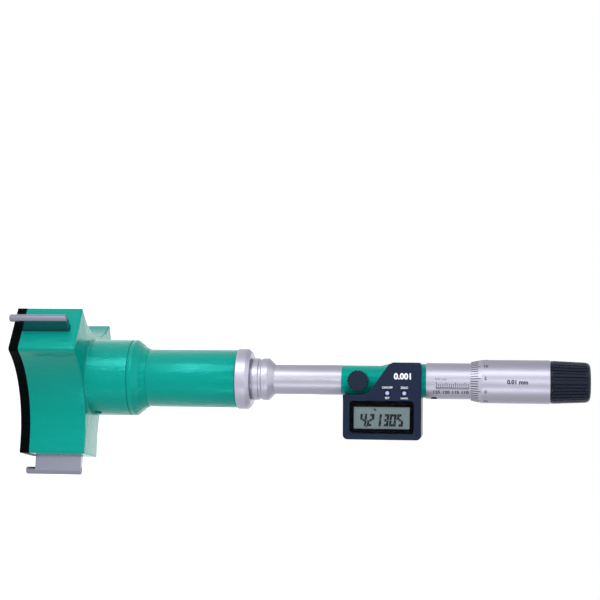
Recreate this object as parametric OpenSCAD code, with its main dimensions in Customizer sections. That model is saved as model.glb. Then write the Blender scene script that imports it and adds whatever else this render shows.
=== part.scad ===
// Three-point digital inside micrometer, 100 to 125 mm.
// It stands on its front cover: Z is the measuring axis, the front face is at Z 0,
// and the display faces -Y.

/* [Measuring] */
// Diameter that the three pins measure in the stored pose
open_d = 107.01; // [100:0.01:125]
// Smallest diameter of the range
min_d = 100; // [100:0.5:106]
// Largest diameter of the range
max_d = 125; // [110:0.5:125]
// Diameter of the measuring pins, and thickness of the anvil blades
pin_d = 4; // [3:0.1:5]
// Height of the slanted edge of a blade that rides on the cone
slant_h = 4.3; // [3:0.1:6]

/* [Head] */
// Distance from the axis to the flat tip of an arm
tip_r = 43; // [40:0.5:45]
// Width of an arm at its tip
arm_w = 27.4; // [24:0.2:30]
// Radius of the hollow flank between two arms
flank_r = 47; // [44:0.5:52]
// Distance from the axis to the middle of a hollow flank
waist_r = 23.1; // [22:0.1:25]
// Angle of the first arm about the axis
arm_turn = 232; // [200:1:260]
// Thickness of the front cover
cover_t = 5.2; // [4.8:0.1:7]
// Thickness of the head behind the cover
head_t = 30.4; // [29:0.1:34]
// Distance from the back of the head to the end of the slots
slot_wall = 4.5; // [3.5:0.1:6]
// Distance of the cover screws from the middle line of an arm
screw_side = 8.6; // [7:0.1:10]
// Distance of the cover screws from the axis
screw_r = 33; // [30:0.5:36]
// Diameter of the head of a cover screw
screw_head_d = 5.6; // [4.5:0.1:6]

/* [Neck and barrel] */
// Diameter of the neck
neck_d = 41.4; // [40:0.2:45]
// Length of the neck
neck_l = 25; // [22:0.5:34]
// Length of the sloped shoulder behind the neck
shoulder_l = 6.9; // [5:0.1:10]
// Diameter of the neck tube
tube_d = 31.4; // [28:0.2:36]
// Length of the neck tube
tube_l = 48.7; // [46:0.1:70]
// Diameter of the coupling ring
ring_d = 32.7; // [32:0.1:38]
// Length of the coupling ring
ring_l = 7.6; // [5:0.1:12]
// Chamfer at the back of the coupling ring
ring_cut = 1.9; // [0.5:0.1:3]
// Diameter of the barrel's collar
collar_d = 22.7; // [22.4:0.1:26]
// Length of the barrel's collar
collar_l = 9.4; // [8:0.1:14]
// Length of the taper behind the collar
taper_l = 3.3; // [2:0.1:6]
// Diameter of the barrel
barrel_d = 16; // [14.6:0.1:17.6]
// Length of the plain barrel
barrel_l = 36.5; // [30:0.5:60]

/* [Display housing] */
// Diameter of the round part of the housing
housing_d = 18.2; // [17.8:0.1:19.2]
// Diameter of the slimmer front of the housing, under the lock knob
slim_d = 15.8; // [15.4:0.1:17]
// Length of the housing
housing_l = 45; // [44.6:0.1:52]
// Length of housing that shows in front of the display panel
rim_front = 1.3; // [0.8:0.1:3]
// Length of housing that shows behind the display panel
rim_back = 2.1; // [1:0.1:4]
// Reach of the display panel below the axis, in +X
panel_low = 31.2; // [30.6:0.1:36]
// Reach of the display panel above the axis, in -X
panel_high = 9.8; // [9.6:0.1:11]
// Distance from the axis to the front of the display panel
panel_y = 13; // [12.5:0.1:15]
// Thickness of the display panel
panel_t = 5; // [4.6:0.1:5.2]
// Distance from the axis to the back of the display block
block_y = 4.6; // [4.2:0.1:7]
// Corner radius of the display panel
panel_round = 2.6; // [1:0.1:4]
// Width of the display window
window_w = 34.2; // [33:0.1:35]
// Height of the display window
window_h = 17.4; // [16.4:0.1:18]
// Corner radius of the display window
window_round = 1.8; // [0.4:0.1:3]
// Drop of the sloped border round the display window
border_t = 1.2; // [0.3:0.1:1.6]
// Width of the visible display
lcd_w = 29.7; // [26:0.1:31]
// Height of the visible display
lcd_h = 11.6; // [9:0.1:12.6]
// Diameter of a push button
button_d = 2; // [1.8:0.1:3]
// Travel of a push button
button_travel = 0.6; // [0.3:0.1:0.8]
// Diameter of the lock knob
knob_d = 11.1; // [9:0.1:12]
// Height of the lock knob
knob_h = 5.2; // [4:0.1:7]
// Distance from the front of the housing to the lock knob's axis
knob_z = 9.2; // [8.8:0.1:10]
// Diameter of the battery cap
cap_cell_d = 19; // [18:0.1:19.2]

/* [Sleeve, thimble and ratchet] */
// Diameter of the graduated sleeve
sleeve_d = 19.3; // [18.4:0.1:20]
// Length of sleeve that shows in front of the thimble
sleeve_show = 23.6; // [22:0.1:30]
// Diameter of the thimble
thimble_d = 23.2; // [22.4:0.1:26]
// Length of the thimble
thimble_l = 41.7; // [40:0.1:50]
// Length of the thimble's bevel
bevel_l = 6.1; // [4:0.1:8]
// Wall of the thimble at its front edge
lip_t = 0.3; // [0.25:0.05:0.6]
// Diameter of the ratchet cap at its front
cap_d = 22.8; // [21:0.1:24]
// Diameter of the ratchet cap at its end
cap_end_d = 21.2; // [19:0.1:22]
// Length of the ratchet cap
cap_l = 21.1; // [19.5:0.1:28]
// Corner radius at the end of the ratchet cap
cap_round = 2.6; // [1:0.1:4]
// Number of grooves round the ratchet cap
cap_grooves = 36; // [20:1:48]
// Depth of the grooves round the ratchet cap
groove_t = 0.6; // [0.3:0.05:0.9]
// Diameter of the spindle
spindle_d = 8; // [7:0.1:8.4]

/* [Hidden] */
$fn = 96;

// clearances: sliding on flats, running on a shaft, seat of a fixed piece, general gap
slide_gap = 0.05;
run_gap = 0.06;
seat_gap = 0.02;
gap = 0.2;

// stations along the axis
z_head = cover_t;
z_back = z_head + head_t;
z_neck = z_back + neck_l;
z_sh = z_neck + shoulder_l;
z_tube = z_sh + tube_l;
z_ring = z_tube + ring_l;
z_col = z_ring + collar_l;
z_tap = z_col + taper_l;
z_bar = z_tap + barrel_l;
z_hou = z_bar + housing_l;
z_thi = z_hou + sleeve_show;
z_end = z_thi + thimble_l;
z_cap = z_end + cap_l;

// travel of the cone along the axis: one millimetre for each millimetre of diameter
fwd = max_d - open_d;
back = open_d - min_d;
slope = 0.5;

// arms
arms = [arm_turn, arm_turn + 120, arm_turn + 240];
slot_t = pin_d + 2 * slide_gap;
step_r = tube_d / 2 + 0.42 * (neck_d - tube_d) / 2;
step_z = z_neck + 0.52 * shoulder_l;
z_slot = z_back - slot_wall;
screw_l = 8.4;

// cone
nose_r = 2;
nose_stop = 2.2;
pocket_floor = cover_t - nose_stop - 1.4;
nose_z = cover_t - nose_stop + fwd;
land_r = neck_d / 2 - 4.1;
cone_z = nose_z + (land_r - nose_r) / slope;
spigot_l = 3.6;
bore_end = z_sh - spigot_l - 0.4;
land_end = bore_end - gap - back;
bore_r = land_r + 0.1;
function cone_r(z) = nose_r + slope * (z - nose_z);

// anvils
blade_z0 = z_head + gap;
blade_z1 = z_slot - gap;
slant_z = blade_z1 - slant_h;
cone_gap = 0.06;
blade_in = cone_r(slant_z) + cone_gap;
pin_c = open_d / 2 - pin_d / 2;
pin_front = 0.3;

// return springs: a notch in the back of each blade, against a pin in the slot
coil_d = pin_d - 0.4;
notch_w = coil_d + 0.6;
notch_z = blade_z1 - notch_w;
coil_z = notch_z + gap + coil_d / 2;
post_r = 1.5;
post_at = tip_r - 16;
notch_out = post_at + post_r + 0.5 + back / 2;
notch_in = post_at - post_r - 5.4 - fwd / 2;
post_deep = slot_wall - 1;

// neck tube and push rod
rod_r = 4;
tube_bore = 11.05;
lip_r = 9;
bush_z = z_sh - spigot_l + 2;
bush_l = 8;
spring_rest = fwd + 7;
flange_z = bush_z + bush_l + spring_rest;
flange_l = 3;
flange_r = 8.6;
spigot_z = flange_z + flange_l + back + 1;
guide_z = spigot_z + 8;

// spindle and thrust ball
spin_r = spindle_d / 2;
ball_r = 2.5;
hou_spigot_l = 6.4;
ball_floor = z_bar - 17;
rod_end = ball_floor + 2;
spin_z = ball_floor + 2 * ball_r + 0.02;
barrel_bore = spin_r + 1;
hou_spigot_r = slim_d / 2 - 1.5;
guide_end = z_bar + 15;

// encoder and sleeve
cav_r = slim_d / 2 - 0.9;
rotor_z = guide_end + 0.6;
rotor_l = 4.6;
stator_z = rotor_z + rotor_l + 0.5;
stator_l = 2;
sleeve_z = stator_z + stator_l;
key_w = 1.4;
thread_r = spin_r + 0.4;
sleeve_bore = thread_r + 0.5;
nut_r = sleeve_d / 2 - 2.7;
nut_z = z_hou + 8;
sleeve_end = z_end - 6.3 - 1 - fwd;
nut_end = sleeve_end - 4;
thread_z = nut_z;
thread_end = nut_end + 4;

// thimble
wall_t = 6.3;
thimble_bore = sleeve_d / 2 + 0.3;
inner_wall = z_end - wall_t;
shoulder_r = spin_r + 1.6;

// ratchet
screw_shank = 2.4;
screw_rim = 4.2;
cap_gap = 0.25;
cap_z = z_end + cap_gap;
well_r = 7;
well_end = z_end + 8;
rim_z = z_cap - 4.6;
cap_lean = atan((cap_d - cap_end_d) / 2 / cap_l);

// display block: a plate outline in X and Z, thickness along Y
panel_w = housing_l - rim_front - rim_back;
pan_z0 = z_bar + rim_front;
pan_z1 = z_hou - rim_back;
pan_back = -panel_y + panel_t;
win_z = pan_z0 + panel_w / 2 - 0.1;
win_x = 19.2;
lock_at = z_bar + knob_z;
lock_y = slim_d / 2 + 0.4;
knob_room = 0.55;
edge_z = lock_at + knob_d / 2 + knob_room;
shank_r = 2;
shank_in = spin_r + 1.3;
btn_x = 6.4;
btn_z = [pan_z1 - 17.9, pan_z1 - 8.9];
btn_rim = button_d / 2 + 0.8;
cell_x = 20.2;
cell_z = win_z + 0.4;
cell_r = 8;
cell_t = 3;
door_t = 3;
cell_y = block_y - door_t - cell_t;
coin_slot = 10;
board_x = win_x + 0.8;
board_h = 19.2;
board_w = panel_w - 11.2;
board_t = 1.6;
hscrew = [[panel_low - 3, pan_z0 + 2.9], [panel_low - 3, pan_z1 - 2.9],
    [panel_low - 20.6, pan_z1 - 2.9], [panel_low - 20.6, pan_z0 + 2.9]];

// a cylinder on the axis between two heights
module rod(r, z0, z1) {
    translate([0, 0, z0]) cylinder(r = r, h = z1 - z0);
}

// a cone on the axis between two heights
module taper(r0, r1, z0, z1) {
    translate([0, 0, z0]) cylinder(r1 = r0, r2 = r1, h = z1 - z0);
}

// a cylinder along Y at a place in X and Z
module yrod(r, y0, y1, x, z) {
    translate([x, y0, z]) rotate([-90, 0, 0]) cylinder(r = r, h = y1 - y0);
}

// a flat shape in X and Z, given thickness along Y
module plate(y0, y1) {
    translate([0, y1, 0]) rotate([90, 0, 0]) linear_extrude(height = y1 - y0) children();
}

// an upright rectangle in X and Z about its middle
module box2(x, z, w, h) {
    translate([x - w / 2, z - h / 2]) square([w, h]);
}

// the same rectangle with round corners
module round2(x, z, w, h, r) {
    box2(x, z, w - 2 * r, h);
    box2(x, z, w, h - 2 * r);
    for (i = [-1, 1]) for (j = [-1, 1])
        translate([x + i * (w / 2 - r), z + j * (h / 2 - r)]) circle(r = r);
}

// a coil spring on Z with six-sided wire
module coil(rm, rw, l, turns, steps) {
    n = turns * steps;
    pts = [for (i = [0:n]) for (k = [0:5])
        let (a = 360 * i / steps, b = 60 * k, z = rw + (l - 2 * rw) * i / n)
        [(rm + rw * cos(b)) * cos(a), (rm + rw * cos(b)) * sin(a), z + rw * sin(b)]];
    sides = [for (i = [0:n - 1]) for (k = [0:5])
        for (t = [0, 1]) let (p = i * 6 + k, q = i * 6 + (k + 1) % 6)
        t == 0 ? [p, p + 6, q] : [q, p + 6, q + 6]];
    polyhedron(points = pts,
        faces = concat([[0, 1, 2, 3, 4, 5]], sides, [[for (k = [5:-1:0]) n * 6 + k]]));
}

// outline of the head: the tip corners joined, less three hollow flanks
module head_outline() {
    difference() {
        polygon([for (a = arms) for (s = [-1, 1])
            [tip_r * cos(a) - s * arm_w / 2 * sin(a), tip_r * sin(a) + s * arm_w / 2 * cos(a)]]);
        for (a = arms)
            rotate([0, 0, a + 60]) translate([waist_r + flank_r, 0]) circle(r = flank_r);
    }
}

// places of the cover screws
module at_screws() {
    for (a = arms) for (s = [-1, 1])
        rotate([0, 0, a]) translate([screw_r, s * screw_side, 0]) children();
}

module head_body() {
    color("seagreen") difference() {
        union() {
            translate([0, 0, z_head]) linear_extrude(height = head_t) head_outline();
            rod(neck_d / 2, z_back - 1, z_neck);
            taper(neck_d / 2, step_r, z_neck, step_z);
            taper(step_r - 0.5, tube_d / 2, step_z, z_sh);
        }
        rod(bore_r, z_head - 1, bore_end);
        rod(tube_bore + 1.5, bore_end - 1, z_sh + 1);
        for (a = arms)
            rotate([0, 0, a]) translate([0, -slot_t / 2, z_head - 1])
                cube([tip_r + 5, slot_t, z_slot - z_head + 1]);
        for (a = arms)
            rotate([0, 0, a]) translate([post_at, 0, 0]) rod(post_r, z_slot - 1, z_slot + post_deep);
        at_screws() rod(1.5, z_head - 1, z_head + screw_l + 0.6);
        // groove at the end of the neck
        difference() {
            rod(neck_d / 2 + 1, z_neck - 2.6, z_neck - 2);
            rod(neck_d / 2 - 0.6, z_neck - 3, z_neck - 1);
        }
        rotate([0, 0, arm_turn + 104]) translate([0, 0, z_back + 4.6]) rotate([0, 90, 0])
            cylinder(r = 2.1, h = neck_d);
    }
}

module neck_screw() {
    color("dimgray") rotate([0, 0, arm_turn + 104]) translate([0, 0, z_back + 4.6])
        rotate([0, 90, 0]) difference() {
            translate([0, 0, bore_r + 0.4]) cylinder(r = 2.08, h = neck_d / 2 - bore_r - 1.4);
            translate([0, 0, neck_d / 2 - 2.2]) cylinder(r = 1.15, h = 4, $fn = 6);
        }
}

module front_cover() {
    color("black") difference() {
        linear_extrude(height = cover_t) head_outline();
        translate([0, 0, pocket_floor]) cylinder(r = nose_r + 2.6, h = cover_t);
        at_screws() {
            rod(1.7, -1, cover_t + 1);
            taper(screw_head_d / 2 + 0.3, 1.7, 0.1, screw_head_d / 2 - 1.3);
            rod(screw_head_d / 2 + 0.3, -1, 0.1);
        }
    }
}

module cover_screws() {
    color("silver") at_screws() difference() {
        union() {
            rod(1.48, 0.4, z_head + screw_l);
            taper(screw_head_d / 2, 1.48, 0.25, screw_head_d / 2 - 1.23);
        }
        translate([0, 0, -1]) cylinder(r = 1.15, h = 2.3, $fn = 6);
    }
}

module spring_pins() {
    color("silver") for (a = arms)
        rotate([0, 0, a]) translate([post_at, 0, 0])
            rod(post_r - seat_gap, notch_z + gap, z_slot + post_deep);
}

module return_spring(i) {
    l = post_at - post_r - notch_in - 0.1;
    color("gold") rotate([0, 0, arms[i]]) translate([notch_in + 0.05, 0, coil_z])
        rotate([0, 90, 0]) coil(coil_d / 2 - 0.22, 0.22, l, 10, 10);
}

module return_spring_a() { return_spring(0); }
module return_spring_b() { return_spring(1); }
module return_spring_c() { return_spring(2); }

module anvil_blade(i) {
    color("lightsteelblue") rotate([0, 0, arms[i]]) difference() {
        rotate([90, 0, 0]) linear_extrude(height = pin_d, center = true)
            polygon([[blade_in, blade_z0], [pin_c, blade_z0], [pin_c, blade_z1],
                [notch_out, blade_z1], [notch_out, notch_z], [notch_in, notch_z],
                [notch_in, blade_z1], [cone_r(blade_z1) + cone_gap, blade_z1],
                [blade_in, slant_z]]);
        translate([pin_c, 0, 0]) rod(pin_d / 2, -1, z_back + 1);
    }
}

module anvil_blade_a() { anvil_blade(0); }
module anvil_blade_b() { anvil_blade(1); }
module anvil_blade_c() { anvil_blade(2); }

module measuring_pin(i) {
    color("gainsboro") rotate([0, 0, arms[i]]) translate([pin_c, 0, 0]) {
        taper(pin_d / 2 - 0.4, pin_d / 2 - 0.01, pin_front, pin_front + 0.4);
        rod(pin_d / 2 - 0.01, pin_front + 0.4, blade_z1 - 0.3);
        taper(pin_d / 2 - 0.01, pin_d / 2 - 0.3, blade_z1 - 0.3, blade_z1);
    }
}

module measuring_pin_a() { measuring_pin(0); }
module measuring_pin_b() { measuring_pin(1); }
module measuring_pin_c() { measuring_pin(2); }

module cone() {
    color("silver") difference() {
        union() {
            taper(nose_r, land_r, nose_z, cone_z);
            rod(land_r, cone_z, land_end);
        }
        rod(rod_r - 1, land_end - 10, land_end + 1);
        rod(land_r - 3.5, land_end - 3, land_end + 1);
    }
}

module push_rod() {
    color("lightgray") difference() {
        union() {
            rod(rod_r - 1 - seat_gap, land_end - 9.5, land_end - 2);
            rod(rod_r, land_end - 3, rod_end);
            rod(flange_r, flange_z, flange_z + flange_l);
        }
        rod(ball_r + seat_gap, ball_floor, rod_end + 1);
    }
}

module thrust_ball() {
    color("silver") translate([0, 0, ball_floor + ball_r]) sphere(r = ball_r);
}

module neck_tube() {
    color("seagreen") difference() {
        union() {
            rod(tube_bore + 1.5 - seat_gap, z_sh - spigot_l, z_sh);
            rod(tube_d / 2, z_sh, z_tube);
        }
        rod(lip_r, z_sh - spigot_l - 1, bush_z + 1);
        rod(tube_bore, bush_z, z_tube + 1);
    }
}

module guide_bush() {
    color("peru") difference() {
        rod(tube_bore - seat_gap, bush_z, bush_z + bush_l);
        rod(rod_r + run_gap, bush_z - 1, bush_z + bush_l + 1);
    }
}

module rod_spring() {
    color("gold") translate([0, 0, bush_z + bush_l + 0.05])
        coil(7, 0.55, spring_rest - 0.1, 5, 16);
}

module coupling_ring() {
    color("gainsboro") difference() {
        union() {
            rod(ring_d / 2, z_tube, z_ring - ring_cut);
            taper(ring_d / 2, ring_d / 2 - ring_cut, z_ring - ring_cut, z_ring);
        }
        rod(tube_bore, z_tube - 1, z_ring + 1);
    }
}

module barrel() {
    groove_z = z_ring + collar_l / 2 - 0.6;
    color("gainsboro") difference() {
        union() {
            rod(tube_bore - seat_gap, spigot_z, z_ring);
            rod(collar_d / 2, z_ring, z_col);
            taper(collar_d / 2, barrel_d / 2, z_col, z_tap);
            rod(barrel_d / 2, z_tap, z_bar);
            rod(hou_spigot_r - seat_gap, z_bar, z_bar + hou_spigot_l);
        }
        rod(rod_r + run_gap, spigot_z - 1, guide_z + 1);
        rod(barrel_bore, guide_z, z_bar + hou_spigot_l + 1);
        difference() {
            rod(collar_d / 2 + 1, groove_z, groove_z + 1.8);
            rod(collar_d / 2 - 0.55, groove_z - 1, groove_z + 3);
        }
        difference() {
            rod(collar_d / 2 + 1, z_ring, z_ring + 0.8);
            rod(collar_d / 2 - 0.9, z_ring - 1, z_ring + 2);
        }
    }
}

// outline of the display panel: the window block, and a part over the round housing
// that a slanted edge cuts off on the left
module panel_outline() {
    r = panel_round;
    difference() {
        polygon([[panel_low, pan_z0], [panel_low, pan_z1], [-panel_high, pan_z1],
            [-panel_high, edge_z + 12.3], [-panel_high + 1.2, edge_z + 10.3],
            [6, edge_z], [7.4, edge_z - 3.8], [7.6, pan_z0]]);
        // round corners: place of the corner, its two directions, and its radius
        for (c = [[panel_low, pan_z0, 1, -1, r], [panel_low, pan_z1, 1, 1, r],
            [-panel_high, pan_z1, -1, 1, 0.6 * r]])
            difference() {
                translate([c[0], c[1]]) square(2 * c[4], center = true);
                translate([c[0] - c[2] * c[4], c[1] - c[3] * c[4]]) circle(r = c[4]);
            }
    }
}

module display_housing() {
    color("seagreen") difference() {
        union() {
            difference() {
                union() {
                    rod(slim_d / 2, z_bar, edge_z + 5.6);
                    taper(slim_d / 2, housing_d / 2, edge_z + 5.6, edge_z + 10.1);
                    rod(housing_d / 2, edge_z + 10.1, z_hou);
                }
                plate(-panel_y - 1, pan_back) panel_outline();
            }
            plate(pan_back, block_y) panel_outline();
        }
        // bore: barrel spigot, spindle guide, encoder and sleeve
        rod(hou_spigot_r, z_bar - 1, z_bar + hou_spigot_l + 0.3);
        rod(spin_r + run_gap, z_bar, z_hou);
        rod(cav_r, guide_end, z_hou + 1);
        // lock screw
        yrod(shank_r + run_gap, -panel_y, 0, 0, lock_at);
        // pocket for the board, and the cell behind it
        plate(pan_back - 1, cell_y) box2(board_x, win_z, board_h, board_w);
        yrod(cell_r + seat_gap, cell_y - 0.5, block_y, cell_x, cell_z);
        yrod(cap_cell_d / 2 + 0.1, block_y - door_t, block_y + 1, cell_x, cell_z);
        // rims of the buttons
        for (z = btn_z)
            yrod(btn_rim + 0.25, pan_back - 1, pan_back + 1.4, btn_x, z);
        for (p = hscrew) {
            yrod(1.2, pan_back - 1, block_y + 1, p[0], p[1]);
            yrod(2.2, block_y - 1.6, block_y + 1, p[0], p[1]);
        }
    }
}

// what the sloped border takes off the front: a wedge below the window and one on each side,
// where a third wedge ends them above the window
module border_cut() {
    y = -panel_y;
    x1 = win_x + window_h / 2;
    translate([0, 0, pan_z0 - 1]) linear_extrude(height = panel_w + 2)
        polygon([[x1, y], [panel_low, y + border_t], [panel_low + 1, y + border_t],
            [panel_low + 1, y - 1], [x1, y - 1]]);
    for (k = [[win_z - window_w / 2, pan_z0, -1], [win_z + window_w / 2, pan_z1, 1]])
        intersection() {
            translate([panel_low + 1, 0, 0]) rotate([0, -90, 0])
                linear_extrude(height = panel_low + 1)
                polygon([[k[0], y], [k[1], y + border_t], [k[1] + k[2], y + border_t],
                    [k[1] + k[2], y - 1], [k[0], y - 1]]);
            translate([0, 0, pan_z0 - 1]) linear_extrude(height = panel_w + 2)
                polygon([[win_x - window_h / 2 - 2, y], [win_x - window_h / 2 + 1, y + border_t],
                    [panel_low + 2, y + border_t], [panel_low + 2, y - 2],
                    [win_x - window_h / 2 - 2, y - 2]]);
        }
}

module front_panel() {
    color("midnightblue") difference() {
        plate(-panel_y, pan_back) panel_outline();
        plate(-panel_y - 1, -panel_y + 1.8) round2(win_x, win_z, window_h, window_w, window_round);
        border_cut();
        plate(-panel_y - 1, pan_back + 1) box2(win_x, win_z, lcd_h + 2.6, lcd_w + 2.6);
        for (z = btn_z)
            yrod(button_d / 2 + 0.15, -panel_y - 1, pan_back + 1, btn_x, z);
        for (p = hscrew)
            yrod(1, -panel_y + 1.4, pan_back + 1, p[0], p[1]);
    }
}

module display_window() {
    color("lightcyan") plate(-panel_y + 0.3, -panel_y + 1.3)
        round2(win_x, win_z, window_h - 0.1, window_w - 0.1, window_round);
}

module display_mask() {
    color("black") plate(-panel_y + 1.3, -panel_y + 1.8) difference() {
        round2(win_x, win_z, window_h - 0.1, window_w - 0.1, window_round);
        box2(win_x + 0.4, win_z, lcd_h, lcd_w);
    }
}

module lcd_panel() {
    color("darkseagreen") plate(-panel_y + 1.8, -panel_y + 3.6)
        box2(win_x, win_z, lcd_h + 2.4, lcd_w + 2.4);
}

module circuit_board() {
    color("darkgreen") plate(cell_y - board_t, cell_y)
        box2(board_x, win_z, board_h - 2 * seat_gap, board_w - 2 * seat_gap);
}

module coin_cell() {
    color("silver") yrod(cell_r, cell_y, block_y - door_t, cell_x, cell_z);
}

module battery_cap() {
    color("black") difference() {
        yrod(cap_cell_d / 2, block_y - door_t + 0.1, block_y + 0.1, cell_x, cell_z);
        translate([cell_x - coin_slot / 2, block_y - 1.1, cell_z - 0.8]) cube([coin_slot, 3, 1.6]);
    }
}

module housing_screws() {
    color("silver") for (p = hscrew) difference() {
        union() {
            yrod(1 - seat_gap, pan_back - 2.6, block_y - 1.5, p[0], p[1]);
            yrod(1.95, block_y - 1.6, block_y - 0.2, p[0], p[1]);
        }
        translate([p[0] - 1.4, block_y - 0.9, p[1] - 0.2]) cube([2.8, 2, 0.4]);
        translate([p[0] - 0.2, block_y - 0.9, p[1] - 1.4]) cube([0.4, 2, 2.8]);
    }
}

module encoder_stator() {
    color("darkgreen") difference() {
        rod(cav_r - seat_gap, stator_z, stator_z + stator_l);
        rod(spin_r + 0.7, stator_z - 1, stator_z + stator_l + 1);
    }
}

module encoder_rotor() {
    color("goldenrod") {
        difference() {
            rod(cav_r - 0.4, rotor_z, rotor_z + rotor_l);
            rod(spin_r + run_gap, rotor_z - 1, rotor_z + rotor_l + 1);
        }
        translate([spin_r - 0.7, -key_w / 2 + 0.1, rotor_z])
            cube([1.4, key_w - 0.2, rotor_l]);
    }
}

module lock_pad() {
    color("gold") yrod(shank_r + run_gap - seat_gap, -shank_in + 0.1, -spin_r - 0.15, 0, lock_at);
}

module lock_knob() {
    n = 18;
    color("black") {
        difference() {
            yrod(knob_d / 2, -lock_y - knob_h, -lock_y, 0, lock_at);
            for (k = [0:n - 1])
                translate([0, 0, lock_at]) rotate([0, k * 360 / n, 0])
                    yrod(0.45, -lock_y - knob_h - 1, -lock_y + 1, knob_d / 2 + 0.1, 0);
        }
        yrod(shank_r, -lock_y - 1, -shank_in, 0, lock_at);
    }
}

module push_button(z) {
    color("white") {
        yrod(button_d / 2, -panel_y - 0.2, pan_back + 0.2, btn_x, z);
        yrod(btn_rim, pan_back + 0.05, pan_back + 0.65, btn_x, z);
    }
}

module button_left() { push_button(btn_z[0]); }
module button_right() { push_button(btn_z[1]); }

module sleeve() {
    color("gainsboro") difference() {
        union() {
            rod(cav_r - seat_gap, sleeve_z, z_hou);
            rod(sleeve_d / 2, z_hou, sleeve_end);
        }
        rod(sleeve_bore, sleeve_z - 1, sleeve_end + 1);
        rod(nut_r, nut_z, sleeve_end + 1);
        // spanner hole
        rotate([0, 0, arm_turn + 109]) translate([0, 0, z_hou + 4.2]) rotate([0, 90, 0])
            translate([0, 0, sleeve_d / 2 - 2.4]) cylinder(r = 1.8, h = 5);
    }
}

module spindle_nut() {
    color("peru") difference() {
        rod(nut_r - seat_gap, nut_z, nut_end);
        rod(thread_r + run_gap, nut_z - 1, nut_end + 1);
    }
}

module spindle() {
    key_z0 = rotor_z - back - 2;
    key_z1 = rotor_z + rotor_l + fwd + 2;
    color("lightgray") difference() {
        union() {
            rod(spin_r, spin_z, z_end);
            rod(thread_r, thread_z, thread_end);
            rod(shoulder_r, inner_wall - 3, inner_wall);
        }
        translate([spin_r - 1, -key_w / 2, key_z0]) cube([5, key_w, key_z1 - key_z0]);
        rod(screw_shank - 0.5, z_end - 9, z_end + 1);
    }
}

module thimble() {
    color("gainsboro") difference() {
        union() {
            taper(thimble_bore + lip_t, thimble_d / 2, z_thi, z_thi + bevel_l);
            rod(thimble_d / 2, z_thi + bevel_l, z_end);
        }
        rod(thimble_bore, z_thi - 1, inner_wall);
        rod(spin_r + seat_gap, inner_wall - 1, z_end + 1);
    }
}

module friction_washer() {
    color("peru") difference() {
        rod(well_r - 0.3, z_end, z_end + 1.2);
        rod(screw_shank + 0.3, z_end - 1, z_end + 2);
    }
}

module ratchet_spring() {
    color("gold") translate([0, 0, z_end + 1.25])
        coil(4.6, 0.5, well_end - z_end - 1.45, 3, 14);
}

module ratchet_screw() {
    color("silver") difference() {
        union() {
            rod(screw_shank - 0.5 - seat_gap, z_end - 8, z_end + 1);
            rod(screw_shank, z_end, rim_z + 1);
            rod(screw_rim, rim_z + 0.2, rim_z + 2.8);
        }
        translate([-5, -0.5, rim_z + 1.6]) cube([10, 1, 4]);
    }
}

module ratchet_cap() {
    r1 = cap_end_d / 2;
    color("black") difference() {
        rotate_extrude() difference() {
            polygon([[0, cap_z], [cap_d / 2, cap_z], [r1, z_cap - cap_round],
                [r1, z_cap], [0, z_cap]]);
            difference() {
                translate([r1 - cap_round, z_cap - cap_round]) square([cap_round + 1, cap_round + 1]);
                translate([r1 - cap_round, z_cap - cap_round]) circle(r = cap_round);
            }
        }
        rod(well_r, cap_z - 1, well_end);
        rod(screw_shank + run_gap, cap_z, z_cap);
        rod(screw_rim + 0.4, rim_z, z_cap + 1);
        for (k = [0:cap_grooves - 1])
            rotate([0, 0, k * 360 / cap_grooves])
                translate([cap_d / 2 + 0.5, 0, cap_z + 1.2]) rotate([0, -cap_lean, 0])
                    cylinder(r = groove_t + 0.5, h = cap_l - 3.4, $fn = 4);
    }
}

head_body();
front_cover();
cover_screws();
neck_screw();
spring_pins();
neck_tube();
guide_bush();
rod_spring();
coupling_ring();
barrel();
display_housing();
front_panel();
display_window();
display_mask();
lcd_panel();
circuit_board();
coin_cell();
housing_screws();
encoder_stator();
lock_pad();
sleeve();
spindle_nut();
return_spring_a();
return_spring_b();
return_spring_c();
anvil_blade_a();
anvil_blade_b();
anvil_blade_c();
measuring_pin_a();
measuring_pin_b();
measuring_pin_c();
cone();
push_rod();
thrust_ball();
spindle();
thimble();
friction_washer();
ratchet_spring();
ratchet_screw();
ratchet_cap();
encoder_rotor();
lock_knob();
button_left();
button_right();
battery_cap();
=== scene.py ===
"""Looks of a three-point digital inside micrometer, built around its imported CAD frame."""
import math

import bmesh
import bpy
from bpy.props import FloatProperty, FloatVectorProperty, IntProperty, PointerProperty
from mathutils import Matrix, Vector


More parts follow.
